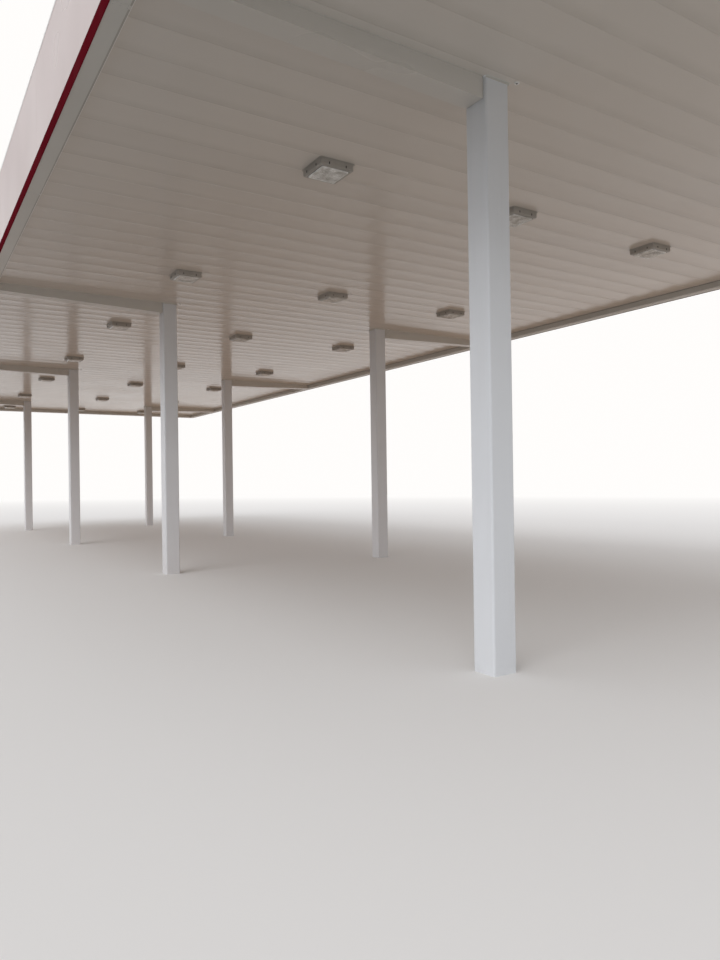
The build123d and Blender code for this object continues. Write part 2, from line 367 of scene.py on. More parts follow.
PAINTS = {
    "column": column_paint(),
    "deck": deck_paint(),
    "gutter": painted("gutter_white_paint", (0.65, 0.64, 0.61), 0.4, 0.02, 0.04, 0.0),
    "leader": painted("leader_white_paint", (0.66, 0.635, 0.60), 0.3, 0.02, 0.03, 0.0),
    "fascia": fascia_paint(),
    "red": red_paint(),
    "primer": primer_paint(),
    "housing": painted("light_grey_paint", (0.43, 0.405, 0.375), 0.36, 0.06, 0.2, 2.0, 7.0, 4.0),
    "trim": painted("bright_trim_paint", (0.86, 0.85, 0.84), 0.3, 0.02, 0.05, 0.0),
    "zinc": zinc_metal(),
    "rubber": dark_rubber(),
    "lens": lens_plastic(),
}

NODE_PAINTS = {
    "column_": "column",
    "cap_plates": "primer",
    "drain_leaders": "leader",
    "deck_": "deck",
    "cross_beam_": "primer",
    "purlin_": "primer",
    "edge_beam_": "primer",
    "gutter_": "gutter",
    "fascia_frame_": "primer",
    "fascia_": "fascia",
    "red_band_": "red",
    "light_housings": "housing",
    "light_lenses": "lens",
}


def paint_frame():
    """Give every CAD node its paint; the first start of a name that fits is used."""
    for name, node in CAD.items():
        paint = next(value for start, value in NODE_PAINTS.items() if name.startswith(start))
        node.data.materials.clear()
        node.data.materials.append(PAINTS[paint])


# Mesh helpers

SMOOTH_ANGLE = 35.0
LEAST_CORNER = 0.5 * MM


def rounded_loop(half_x, half_y, corner, z, steps=4):
    """Points round a rectangle with rounded corners, at one height."""
    points = []
    for turn, (sx, sy) in enumerate(((1, 1), (-1, 1), (-1, -1), (1, -1))):
        for step in range(steps + 1):
            angle = math.radians(90.0 * (turn + step / steps))
            x = sx * (half_x - corner) + corner * math.cos(angle)
            y = sy * (half_y - corner) + corner * math.sin(angle)
            points.append((x, y, z))
    return points


def ring_points(radius, z, segments):
    turns = [2 * math.pi * i / segments for i in range(segments)]
    return [(radius * math.cos(turn), radius * math.sin(turn), z) for turn in turns]


def skin(bm, loops, round_trip=False):
    """Bridge loops of as many points; the ends are capped, or the last loop joins the first."""
    rows = [[bm.verts.new(point) for point in loop] for loop in loops]
    pairs = list(zip(rows[:-1], rows[1:]))
    if round_trip:
        pairs.append((rows[-1], rows[0]))
    for lower, upper in pairs:
        for i in range(len(lower)):
            j = (i + 1) % len(lower)
            bm.faces.new((lower[i], lower[j], upper[j], upper[i]))
    if not round_trip:
        bm.faces.new(rows[0])
        bm.faces.new(rows[-1])


def lathe(bm, profile, segments):
    """Turned solid about Z from pairs of radius and height."""
    skin(bm, [ring_points(radius, z, segments) for radius, z in profile])


def turned(bm, parts, size):
    """Turned solids on one axis, from pairs of a number of segments and a profile for size 1."""
    for segments, profile in parts:
        lathe(bm, [(radius * size, z * size) for radius, z in profile], segments)


def rounded_ring(bm, profile, corner):
    """Square frame: pairs of half size and height, drawn round a rounded square."""
    outer = max(half for half, z in profile)
    loops = []
    for half, z in profile:
        loops.append(rounded_loop(half, half, max(LEAST_CORNER, corner - (outer - half)), z))
    skin(bm, loops, round_trip=True)


def block(bm, low, high, bevel):
    """Box between two corners with bevelled edges."""
    low, high = Vector(low), Vector(high)
    made = bmesh.ops.create_cube(bm, size=1.0)["verts"]
    bmesh.ops.scale(bm, vec=high - low, verts=made)
    bmesh.ops.translate(bm, vec=(low + high) / 2, verts=made)
    edges = list(dict.fromkeys(edge for vert in made for edge in vert.link_edges))
    bmesh.ops.bevel(bm, geom=edges, offset=bevel, segments=1, affect="EDGES")


def sweep(bm, path, profile):
    """Strip along a flat path with mitred corners; the profile is distance to the right and height."""
    loops = []
    for i, point in enumerate(path):
        point = Vector(point)
        before = (point - Vector(path[i - 1])).normalized() if i else None
        after = (Vector(path[i + 1]) - point).normalized() if i + 1 < len(path) else None
        runs = [run for run in (before, after) if run is not None]
        across = sum((Vector((run.y, -run.x)) for run in runs), Vector((0.0, 0.0))).normalized()
        stretch = 1.0 / across.dot(Vector((runs[0].y, -runs[0].x)))
        loops.append([(*(point + across * stretch * side), z) for side, z in profile])
    skin(bm, loops)


def template(build, *values):
    """Small mesh made once and pasted many times."""
    bm = bmesh.new()
    build(bm, *values)
    bmesh.ops.recalc_face_normals(bm, faces=bm.faces)
    mesh = bpy.data.meshes.new("template")
    bm.to_mesh(mesh)
    bm.free()
    return mesh


def move(x, y, z, turn=0.0, tip=0.0):
    """Place of a pasted part: tipped about X, turned about Z, then moved."""
    spin = Matrix.Rotation(math.radians(turn), 4, "Z") @ Matrix.Rotation(math.radians(tip), 4, "X")
    return Matrix.Translation((x, y, z)) @ spin


def dress(name, mesh, paint):
    """Shade a finished mesh and make it a piece that rides on the canopy."""
    mesh.shade_smooth()
    mesh.set_sharp_from_angle(angle=math.radians(SMOOTH_ANGLE))
    mesh.materials.append(PAINTS[paint])
    piece = bpy.data.objects.new(name, mesh)
    bpy.context.scene.collection.objects.link(piece)
    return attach(piece, "root")


def built(name, bm, paint):
    bmesh.ops.recalc_face_normals(bm, faces=bm.faces)
    mesh = bpy.data.meshes.new(name)
    bm.to_mesh(mesh)
    bm.free()
    return dress(name, mesh, paint)


def copies(name, part, places, paint):
    """One piece made of many copies of a template."""
    points = [vert.co for vert in part.vertices]
    faces = [tuple(face.vertices) for face in part.polygons]
    all_points = [place @ point for place in places for point in points]
    count = len(points)
    all_faces = [tuple(i + count * n for i in face) for n in range(len(places)) for face in faces]
    mesh = bpy.data.meshes.new(name)
    mesh.from_pydata(all_points, [], all_faces)
    return dress(name, mesh, paint)


def paste(bm, part, place):
    """Add one copy of a template to a mesh under construction."""
    start = len(bm.verts)
    bm.from_mesh(part)
    bm.verts.ensure_lookup_table()
    bmesh.ops.transform(bm, matrix=place, verts=bm.verts[start:])


def middle(box):
    return (box[0] + box[1]) / 2


def corners_of(spread):
    return [(sx * spread[0], sy * spread[1]) for sx in (-1, 1) for sy in (-1, 1)]


# Fasteners standing at the origin, for size 1: segments, then radius and height

RIVET = [(10, [(1.0, 0.0), (0.97, 0.18), (0.72, 0.42), (0.3, 0.52)])]
HEX_BOLT = [(16, [(1.45, 0.0), (1.45, 0.12), (1.38, 0.2)]), (6, [(1.0, 0.2), (1.0, 0.75), (0.85, 0.87)])]
HEX_NUT = [(16, [(1.45, 0.0), (1.45, 0.18)]), (6, [(1.0, 0.18), (1.0, 0.95), (0.9, 1.05)]),
           (10, [(0.5, 1.0), (0.5, 1.5), (0.42, 1.6)])]


# Light fittings

HOUSING_HALF = 198.0 * MM
FRAME_OUTER = 186.0 * MM
FRAME_INNER = 164.0 * MM
FRAME_CORNER = 20.0 * MM
FRAME_PROUD = 4.0 * MM
FRAME_SOFT = 1.2 * MM
FRAME_SCREW = 4.5 * MM
FRAME_SCREW_INSET = 4.0 * MM
GASKET_TOP = -0.2 * MM
GASKET_OUTER_FOOT = -1.6 * MM
GASKET_INNER_FOOT = -2.4 * MM
GASKET_LAP = 1.0 * MM
LENS_SLOPE = math.radians(24.0)
LENS_CORNER = 18.0 * MM
LENS_SOFT = 4.0 * MM
LENS_CORNER_STEPS = 5
FIELD_CORNER = 2.0 * MM
PRISM_COUNT = 14
PRISM_HEIGHT = 5.0 * MM
PRISM_HALF_SHARE = 0.48
LATCH_BODY = ((-6.0 * MM, 0.0, -14.0 * MM), (6.0 * MM, 4.0 * MM, 12.0 * MM), 1.0 * MM)
LATCH_TONGUE = ((-4.0 * MM, 3.0 * MM, -11.0 * MM), (4.0 * MM, 6.5 * MM, 4.0 * MM), 0.8 * MM)
LATCH_SHARE = 0.25
LATCH_RISE = 24.0 * MM
LATCH_SUNK = 0.5 * MM
LIGHT_CENTRES = [middle(box) for box in HOUSINGS]
HOUSING_BOTTOM = HOUSINGS[0][0].z
LENS_BOTTOM = LENSES[0][0].z
LENS_TOP = LENSES[0][1].z
LENS_HALF = (LENSES[0][1].x - LENSES[0][0].x) / 2


def door_frame(bm):
    """Raised frame round the lens, with softened edges."""
    low = -FRAME_PROUD
    soft = FRAME_SOFT
    profile = [(FRAME_OUTER, 0.0), (FRAME_OUTER, low + soft), (FRAME_OUTER - soft, low),
               (FRAME_INNER + 3 * soft, low), (FRAME_INNER, low + 2 * soft), (FRAME_INNER, 0.0)]
    rounded_ring(bm, profile, FRAME_CORNER)


def lens_gasket(bm):
    inner = LENS_HALF - GASKET_LAP
    profile = [(FRAME_INNER, GASKET_TOP), (FRAME_INNER, GASKET_OUTER_FOOT), (inner, GASKET_INNER_FOOT),
               (inner, GASKET_TOP)]
    rounded_ring(bm, profile, FRAME_CORNER)


def prism_lens(bm):
    """Drop lens: sloping sides, a smooth rim round its lower edge, and a sunk field of square prisms."""
    depth = LENS_TOP - LENS_BOTTOM
    foot = LENS_HALF - depth * math.tan(LENS_SLOPE)
    soft = LENS_SOFT
    field = foot - 3 * soft
    root = PRISM_HEIGHT - depth
    sides = [(LENS_HALF, 0.0), (foot + 0.5 * soft, soft - depth), (foot, 0.4 * soft - depth),
             (foot - soft, -depth), (field, -depth)]
    loops = []
    for half, z in sides:
        corner = max(FIELD_CORNER, LENS_CORNER - (LENS_HALF - half))
        loops.append(rounded_loop(half, half, corner, z, LENS_CORNER_STEPS))
    loops.append(rounded_loop(field, field, FIELD_CORNER, root, LENS_CORNER_STEPS))
    skin(bm, loops)
    cell = 2 * (field - MM) / PRISM_COUNT
    half = PRISM_HALF_SHARE * cell
    for i in range(PRISM_COUNT):
        for j in range(PRISM_COUNT):
            x = (i + 0.5 - PRISM_COUNT / 2) * cell
            y = (j + 0.5 - PRISM_COUNT / 2) * cell
            base = ((-1, -1), (1, -1), (1, 1), (-1, 1))
            ring = [bm.verts.new((x + sx * half, y + sy * half, root)) for sx, sy in base]
            tip = bm.verts.new((x, y, root - PRISM_HEIGHT))
            for k in range(4):
                bm.faces.new((ring[k], ring[(k + 1) % 4], tip))


def latch(bm):
    """Over-centre clip: a narrow upright body on the housing's side and a tongue over it."""
    block(bm, *LATCH_BODY)
    block(bm, *LATCH_TONGUE)


def build_lights():
    at_bottom = [move(c.x, c.y, HOUSING_BOTTOM) for c in LIGHT_CENTRES]
    at_lens = [move(c.x, c.y, LENS_TOP) for c in LIGHT_CENTRES]
    copies("light_door_frames", template(door_frame), at_bottom, "housing")
    copies("light_gaskets", template(lens_gasket), at_bottom, "rubber")
    lens = copies("light_prism_lenses", template(prism_lens), at_lens, "lens")
    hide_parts("light_lenses")
    clips, screws = [], []
    corner = (FRAME_OUTER + FRAME_INNER) / 2 - FRAME_SCREW_INSET
    for c in LIGHT_CENTRES:
        for turn in range(0, 360, 90):
            side = Matrix.Translation((c.x, c.y, 0)) @ Matrix.Rotation(math.radians(turn), 4, "Z")
            for share in (-LATCH_SHARE, LATCH_SHARE):
                along = 2 * HOUSING_HALF * share
                clips.append(side @ move(along, HOUSING_HALF - LATCH_SUNK, HOUSING_BOTTOM + LATCH_RISE))
            screws.append(side @ move(corner, corner, HOUSING_BOTTOM - FRAME_PROUD, tip=180.0))
    copies("light_latches", template(latch), clips, "rubber")
    copies("light_frame_screws", template(turned, RIVET, FRAME_SCREW), screws, "zinc")


# Trims under the deck

COLLAR_WIDTH = 20.0 * MM
COLLAR_DROP = 14.0 * MM
COLLAR_SHEET = 1.6 * MM
COLLAR_GAP = 0.2 * MM
STRIP_WIDTH = 1.8 * MM
STRIP_RISE = 2.8 * MM
STRIP_THICKNESS = 2.0 * MM
STRIP_BEVEL = 0.3 * MM
FITTING_OFFSET = (0.177, -0.172)
FITTING = [(24, [(24.0, 0.0), (24.0, -3.0), (20.0, -8.0), (12.0, -9.0), (9.0, -6.0)])]
FITTING_EYE = [(20, [(9.5, -5.5), (8.0, -8.5), (5.0, -10.0), (2.0, -10.6)])]


def collar_profile():
    """Angle trim: a leg down the column and a leg along the deck, with a soft inner corner."""
    top = SOFFIT
    sheet = COLLAR_SHEET
    bend = 1.6 * sheet
    return [(COLLAR_GAP, top - COLLAR_DROP), (sheet, top - COLLAR_DROP), (sheet, top - bend),
            (bend, top - sheet), (COLLAR_WIDTH, top - sheet), (COLLAR_WIDTH, top), (COLLAR_GAP, top)]


def build_collars():
    """Angle trim on the sides of each column that the drain box leaves free."""
    bm = bmesh.new()
    for (row, _), (low, high) in COLUMNS.items():
        if row == "left":
            path = [(low.x, low.y), (high.x, low.y), (high.x, high.y), (low.x, high.y)]
        else:
            path = [(high.x, high.y), (low.x, high.y), (low.x, low.y), (high.x, low.y)]
        sweep(bm, path, collar_profile())
    built("column_collars", bm, "gutter")


def build_pan_strips():
    """Painted strip in each open joint between two pans, a little above their folds."""
    strips = bmesh.new()
    foot = SOFFIT + STRIP_RISE
    for joint in PAN_JOINTS:
        low = (PAN_ENDS[0], joint - STRIP_WIDTH / 2, foot)
        high = (PAN_ENDS[1], joint + STRIP_WIDTH / 2, foot + STRIP_THICKNESS)
        block(strips, low, high, STRIP_BEVEL)
    built("pan_joint_strips", strips, "deck")


def build_fittings():
    """Small round fitting on the deck beside each column."""
    places = []
    for box in COLUMNS.values():
        centre = middle(box)
        places.append(move(centre.x + FITTING_OFFSET[0], centre.y + FITTING_OFFSET[1], SOFFIT))
    copies("deck_fittings", template(turned, FITTING, MM), places, "trim")
    copies("deck_fitting_eyes", template(turned, FITTING_EYE, MM), places, "rubber")


# Trims along the sides

TRIM_BEVEL = 0.4 * MM
SHEET_BEVEL = 0.5 * MM
LAP_FIRST = 3.39
LAP_PITCH = 3.6576
LAP_END_CLEAR = 0.5
LAP_WIDTH = 46.0 * MM
LAP_SHEET = 1.4 * MM
LAP_OUTER_CLEAR = 2.0 * MM
LAP_TOP_CLEAR = 1.0 * MM
LAP_RIVET = 3.2 * MM
LAP_RIVETS_ALONG = (-0.3, 0.3)
LAP_RIVETS_ACROSS = (0.15, 0.5, 0.85)
# Grey strip under the gutter's inner edge: painted shade, a shadow line put in as a piece.
EDGE_SHADE_STRIP_DEPTHS = (-11.0 * MM, 2.5 * MM)
EDGE_SHADE_STRIP_HEIGHTS = (-0.8 * MM, 5.0 * MM)
# Dark strip on the deck along the gutter's inner wall: painted shade, a shadow line put in as a piece.
SHADE_STRIP_WIDTH = 9.0 * MM
SHADE_STRIP_DROP = 2.0 * MM
LIP_WIDTH = 7.0 * MM
LIP_RISE = 0.6 * MM
LEADER_MOUTH = 112.0 * MM
LEADER_LIP = (0.1 * MM, 1.8 * MM)
LEADER_LIP_TOP = 0.9 * MM
LEADER_LIP_BEVEL = 0.3 * MM
ANGLE_START = 34.0 * MM
ANGLE_LEG = 16.0 * MM
ANGLE_SHEET = 1.5 * MM
ANGLE_RIVET = 3.0 * MM
ANGLE_RIVET_COUNT = 12
ANGLE_RIVET_SHARE = 0.6
GUTTER_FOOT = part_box("gutter_left")[0].z


def side_frame(side):
    """Matrix that takes the left side's outer face, seen as X = 0 inward, to the side's place."""
    turn = {"left": 0.0, "front": 90.0, "right": 180.0, "back": 270.0}[side]
    half = HALF_WIDTH if side in ("left", "right") else HALF_LENGTH
    return Matrix.Rotation(math.radians(turn), 4, "Z") @ Matrix.Translation((-half, 0.0, 0.0))


def side_half_length(side):
    return HALF_LENGTH if side in ("left", "right") else HALF_WIDTH


def lap_places(side):
    """Places of the gutter joints along one side, from its front or left end."""
    half = side_half_length(side)
    places = []
    along = LAP_FIRST - half
    while along < half - LAP_END_CLEAR:
        places.append(along)
        along += LAP_PITCH
    if side in ("right", "front"):
        return [-place for place in places]
    return places


def along_sides(name, paint, depths, heights, ends):
    """Straight strip along each side, in from the outer face; its ends stay short of the corners."""
    bm = bmesh.new()
    for side in SIDES:
        half = side_half_length(side) - ends
        strip = template(block, (depths[0], -half, heights[0]), (depths[1], half, heights[1]), TRIM_BEVEL)
        paste(bm, strip, side_frame(side))
    built(name, bm, paint)


def gutter_strap(bm, outer, inner, under):
    """Angle strap over a gutter joint: a leg under the gutter and a leg up its inner wall."""
    half = LAP_WIDTH / 2
    face = inner + LAP_SHEET
    block(bm, (outer + LAP_OUTER_CLEAR, -half, under - LAP_SHEET), (face, half, under), SHEET_BEVEL)
    block(bm, (inner, -half, under), (face, half, SOFFIT - LAP_TOP_CLEAR), SHEET_BEVEL)


def build_gutter_laps():
    """Straps over the gutter's joints with their rivets; along its inner edge a grey and a dark strip of
    painted shade, and a lip in bright paint as a painted highlight.
    """
    low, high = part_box("gutter_left")
    inner = high.x + HALF_WIDTH
    outer = low.x + HALF_WIDTH
    under = GUTTER_FOOT
    straps, rivets = [], []
    for side in SIDES:
        for along in lap_places(side):
            place = side_frame(side) @ Matrix.Translation((0.0, along, 0.0))
            straps.append(place)
            for step in LAP_RIVETS_ALONG:
                for share in LAP_RIVETS_ACROSS:
                    x = outer + (inner - outer) * share
                    rivets.append(place @ move(x, step * LAP_WIDTH, under - LAP_SHEET, tip=180.0))
    copies("gutter_straps", template(gutter_strap, outer, inner, under), straps, "gutter")
    copies("gutter_rivets", template(turned, RIVET, LAP_RIVET), rivets, "zinc")
    # Painted shade: a grey strip under the gutter's inner edge stands for the shadow line there.
    depths = [inner + depth for depth in EDGE_SHADE_STRIP_DEPTHS]
    heights = [under + height for height in EDGE_SHADE_STRIP_HEIGHTS]
    along_sides("gutter_edge_shade_strip", "housing", depths, heights, inner)
    # Painted shade: a near-black strip on the deck at the gutter's inner wall stands for the shadow line
    # there.
    depths = (inner, inner + SHADE_STRIP_WIDTH)
    heights = (SOFFIT - SHADE_STRIP_DROP, SOFFIT)
    along_sides("deck_edge_shade_strip", "rubber", depths, heights, inner + SHADE_STRIP_WIDTH)
    # Painted highlight: the lip takes the bright trim paint, lighter than the gutter's, as its sky-lit fold
    # would look.
    depths = (inner, inner + LIP_WIDTH)
    heights = (under + LIP_RISE, under + 2 * LIP_WIDTH)
    along_sides("gutter_lip", "trim", depths, heights, inner + LIP_WIDTH)


def build_leader_trims():
    """Riveted angles where the drain boxes meet the deck, and a lip that closes their end at the gutter."""
    bm = bmesh.new()
    rivets = []
    for low, high in LEADERS:
        sign = 1 if low.x > 0 else -1
        start = low.x if sign > 0 else high.x
        end = high.x if sign > 0 else low.x
        x0, x1 = sorted(end + sign * depth for depth in LEADER_LIP)
        lip_top = GUTTER_FOOT - LEADER_LIP_TOP
        block(bm, (x0, low.y, SOFFIT - LEADER_MOUTH), (x1, high.y, lip_top), LEADER_LIP_BEVEL)
        start += sign * ANGLE_START
        x0, x1 = sorted((start, end))
        for y, out in ((low.y, -1), (high.y, 1)):
            for width, drop in ((ANGLE_LEG, ANGLE_SHEET), (ANGLE_SHEET, ANGLE_LEG)):
                y0, y1 = sorted((y, y + out * width))
                block(bm, (x0, y0, SOFFIT - drop), (x1, y1, SOFFIT), SHEET_BEVEL)
            for i in range(ANGLE_RIVET_COUNT):
                x = start + (end - start) * (i + 0.5) / ANGLE_RIVET_COUNT
                offset = out * ANGLE_RIVET_SHARE * ANGLE_LEG
                rivets.append(move(x, y + offset, SOFFIT - ANGLE_SHEET, tip=180.0))
    built("leader_angles", bm, "leader")
    copies("leader_rivets", template(turned, RIVET, ANGLE_RIVET), rivets, "zinc")


# Trims on the fascia

TRIM_SHEET = 2.2 * MM
TOP_STRIP_HEIGHT = 26.0 * MM
TOP_STRIP_ENDS = 3.0 * MM
BAND_LIP = 7.0 * MM
BAND_LIP_START = 0.3 * MM
JOINT_SEAL_HALF = 2.0 * MM
JOINT_SEAL_DEPTH = 2.5 * MM
JOINT_SEAL_SUNK = 1.5 * MM
JOINT_SEAL_TOP_CLEAR = 5.0 * MM
CORNER_LEG = 34.0 * MM
CORNER_SKIP = 0.4 * MM
CORNER_END_GAP = 0.5 * MM


def panel_joints(node, side):
    """Places of the open joints between the panels of one side, in that side's own run."""
    back = side_frame(side).inverted()
    spans = sorted(sorted(((back @ low).y, (back @ high).y)) for low, high in islands(node))
    return [(first[1] + second[0]) / 2 for first, second in zip(spans[:-1], spans[1:])]


def build_fascia_trims():
    """Strip along the top, lip under the red band, corner angles, and dark seals in the panel joints."""
    low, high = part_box("fascia_left")
    band_low, band_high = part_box("red_band_left")
    face = low.x + HALF_WIDTH
    top = high.z
    sheet = TRIM_SHEET
    heights = (top - TOP_STRIP_HEIGHT, top)
    along_sides("fascia_top_strip", "trim", (face - sheet, face), heights, TOP_STRIP_ENDS)
    heights = (band_low.z - BAND_LIP, band_low.z)
    along_sides("red_band_lips", "red", (BAND_LIP_START, sheet), heights, sheet)
    seals = []
    for side in SIDES:
        for joint in panel_joints(f"fascia_{side}", side):
            seals.append(side_frame(side) @ Matrix.Translation((face + JOINT_SEAL_SUNK, joint, 0.0)))
    seal_low = (0.0, -JOINT_SEAL_HALF, band_low.z)
    seal_high = (JOINT_SEAL_DEPTH, JOINT_SEAL_HALF, top - JOINT_SEAL_TOP_CLEAR)
    seal = template(block, seal_low, seal_high, TRIM_BEVEL)
    copies("fascia_joint_seals", seal, seals, "rubber")
    corners = bmesh.new()
    levels = (band_high.z + CORNER_END_GAP, top - TOP_STRIP_HEIGHT - CORNER_END_GAP)
    skip, leg = CORNER_SKIP, CORNER_LEG
    insets = [(skip, skip), (leg, skip), (leg, sheet), (sheet, sheet), (sheet, leg), (skip, leg)]
    for sx, sy in ((-1, -1), (1, -1), (1, 1), (-1, 1)):
        outline = [(sx * (HALF_WIDTH - dx), sy * (HALF_LENGTH - dy)) for dx, dy in insets]
        skin(corners, [[(x, y, z) for x, y in outline] for z in levels])
    built("fascia_corner_angles", corners, "trim")


# Roof steel details, seen from above

BOLT_SIZE = 11.0 * MM
EDGE_BOLT_SIZE = 0.8 * BOLT_SIZE
EDGE_BOLT_HEIGHTS = (0.35, 0.7)
CAP_BOLT = (148.0 * MM, 60.0 * MM)
PURLIN_BOLT = (40.0 * MM, 60.0 * MM)
BEAM_FLANGE = 13.0 * MM
BEAM_WEB = 8.0 * MM
PURLIN_FLANGE = 9.0 * MM
EDGE_SHEET = 8.0 * MM
WELD_LEG = 5.0 * MM
WELD_CORNER = 27.0 * MM
STIFFENER_OFFSET = 105.0 * MM
STIFFENER_SHEET = 10.0 * MM
STIFFENER_INSET = 6.0 * MM
STIFFENER_BEVEL = 1.2 * MM
POSTS_PER_PANEL = 2
CLIP_PLATE = ((-18.0 * MM, -16.0 * MM, 0.0), (18.0 * MM, 16.0 * MM, 2.0 * MM))
CLIP_TAB = ((-18.0 * MM, -5.5 * MM, -22.0 * MM), (-16.0 * MM, 5.5 * MM, 1.0 * MM))
CLIP_TAB_STEP = 10.5 * MM
CLIP_SCREW = [(6, [(6.0, 2.0), (6.0, 5.0), (5.0, 6.0)])]
CLIP_INSET = 16.0 * MM
CONDUIT_RADIUS = 13.5 * MM
CONDUIT_LIFT = 16.0 * MM
BEND_RADIUS = 0.12
CROSSING_OFFSET = 0.45
BOX_HALF = 62.0 * MM
BOX_HEIGHT = 58.0 * MM
BOX_BEVEL = 4.0 * MM
BOX_LIFT = 2.0 * MM
LID_SIZE = 3.0 * MM
LID_BEVEL = 1.0 * MM
LID_SCREW = 4.0 * MM
LID_SCREW_SHARE = 0.8
HUB_SEGMENTS = 16
HUB_WALL = 6.0 * MM
HUB_HEIGHTS = (8.0 * MM, 12.0 * MM)
HUB_TAPER = 4.0 * MM
STRAP_SHEET = 1.5 * MM
STRAP_HALF = 9.0 * MM
STRAP_FOOT = 16.0 * MM
STRAP_ARC_STEPS = 8
STRAP_EVERY = 3
PURLIN_NUMBERS = range(1, 5)
BEAMS = [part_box(f"cross_beam_{i}") for i in COLUMN_NUMBERS]
PURLINS = [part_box(f"purlin_{i}") for i in PURLIN_NUMBERS]


def build_beam_bolts():
    """Bolts through the cross beams' lower flanges: at the caps, the purlins and the edge beams."""
    heads, nuts = [], []
    flange_top = BEAMS[0][0].z + BEAM_FLANGE
    for plate_box in CAP_PLATES:
        centre = middle(plate_box)
        for dx, dy in corners_of(CAP_BOLT):
            heads.append(move(centre.x + dx, centre.y + dy, flange_top))
            nuts.append(move(centre.x + dx, centre.y + dy, plate_box[0].z, tip=180.0))
    for beam in BEAMS:
        y = middle(beam).y
        for purlin in PURLINS:
            for dx, dy in corners_of(PURLIN_BOLT):
                x = middle(purlin).x + dx
                heads.append(move(x, y + dy, flange_top))
                nuts.append(move(x, y + dy, purlin[1].z - PURLIN_FLANGE, tip=180.0))
        for side in ("left", "right"):
            x = middle(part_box(f"edge_beam_{side}")).x
            for dy in (-PURLIN_BOLT[1], PURLIN_BOLT[1]):
                heads.append(move(x, y + dy, flange_top))
                nuts.append(move(x, y + dy, PURLINS[0][1].z - EDGE_SHEET, tip=180.0))
    copies("beam_bolt_heads", template(turned, HEX_BOLT, BOLT_SIZE), heads, "zinc")
    copies("beam_bolt_nuts", template(turned, HEX_NUT, BOLT_SIZE), nuts, "zinc")


def build_stiffeners():
    """Plates between the flanges of a cross beam, on both sides of its web, over each column."""
    bm = bmesh.new()
    half = STIFFENER_SHEET / 2
    for beam in BEAMS:
        y = middle(beam).y
        z0 = beam[0].z + BEAM_FLANGE
        z1 = beam[1].z - BEAM_FLANGE
        reach = beam[1].y - y - STIFFENER_INSET
        for plate_box in CAP_PLATES:
            if abs(middle(plate_box).y - y) >= reach:
                continue
            for step in (-STIFFENER_OFFSET, STIFFENER_OFFSET):
                x = middle(plate_box).x + step
                for sign in (-1, 1):
                    y0, y1 = sorted((y + sign * BEAM_WEB / 2, y + sign * reach))
                    block(bm, (x - half, y0, z0), (x + half, y1, z1), STIFFENER_BEVEL)
    built("beam_stiffeners", bm, "primer")


def build_cap_welds():
    """Weld bead round each column under its cap plate."""
    half = COLUMN_SIZE / 2
    leg = WELD_LEG
    profile = [(half, 0.0), (half + leg, 0.0), (half + 0.4 * leg, -0.45 * leg), (half, -leg)]
    places = [move(middle(box).x, middle(box).y, box[1].z) for box in COLUMNS.values()]
    weld = template(rounded_ring, profile, WELD_CORNER)
    copies("column_cap_welds", weld, places, "primer")


def pan_clip(bm):
    """Folded clip on a purlin's lower flange, with two tabs down to the pans' legs and a screw."""
    block(bm, *CLIP_PLATE, SHEET_BEVEL)
    low, high = CLIP_TAB
    for y in (-CLIP_TAB_STEP, CLIP_TAB_STEP):
        block(bm, (low[0], y + low[1], low[2]), (high[0], y + high[1], high[2]), SHEET_BEVEL)
    turned(bm, CLIP_SCREW, MM)


def build_pan_clips():
    """Clips that hold the pans to each purlin, turned inward and outward by turns."""
    places = []
    flange_top = PURLINS[0][0].z + PURLIN_FLANGE
    half = (PURLINS[0][1].x - PURLINS[0][0].x) / 2
    for joint in PAN_JOINTS:
        for number, purlin in enumerate(PURLINS):
            sign = 1 if number % 2 else -1
            turn = 180.0 if sign > 0 else 0.0
            places.append(move(middle(purlin).x + sign * (half - CLIP_INSET), joint, flange_top, turn))
    copies("pan_clips", template(pan_clip), places, "zinc")


def build_edge_bolts():
    """Bolts through the edge beams' webs into the posts of the fascia frames."""
    places = []
    inward = Matrix.Rotation(math.radians(90.0), 4, "Y")
    for side in SIDES:
        frame_low, frame_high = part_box(f"fascia_frame_{side}")
        beam_low, beam_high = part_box(f"edge_beam_{side}")
        across = 0 if side in ("left", "right") else 1
        along = 1 - across
        length = frame_high[along] - frame_low[along]
        tube = frame_high[across] - frame_low[across]
        half = HALF_WIDTH if across == 0 else HALF_LENGTH
        depth = half - min(abs(frame_low[across]), abs(frame_high[across])) + EDGE_SHEET
        posts = POSTS_PER_PANEL * (len(panel_joints(f"fascia_{side}", side)) + 1)
        for i in range(1, posts):
            run = (length - tube) * (i / posts - 0.5)
            for share in EDGE_BOLT_HEIGHTS:
                z = beam_low.z + (beam_high.z - beam_low.z) * share
                places.append(side_frame(side) @ Matrix.Translation((depth, run, z)) @ inward)
    bolt = template(turned, HEX_BOLT, EDGE_BOLT_SIZE)
    copies("edge_beam_bolts", bolt, places, "zinc")


def bent_path(points, radius, steps=5):
    """Points of a path whose corners are replaced by curves."""
    points = [Vector(point) for point in points]
    path = [points[0]]
    for before, corner, after in zip(points[:-2], points[1:-1], points[2:]):
        start = corner + (before - corner).normalized() * radius
        stop = corner + (after - corner).normalized() * radius
        for step in range(steps + 1):
            share = step / steps
            path.append(start.lerp(corner, share).lerp(corner.lerp(stop, share), share))
    path.append(points[-1])
    return path


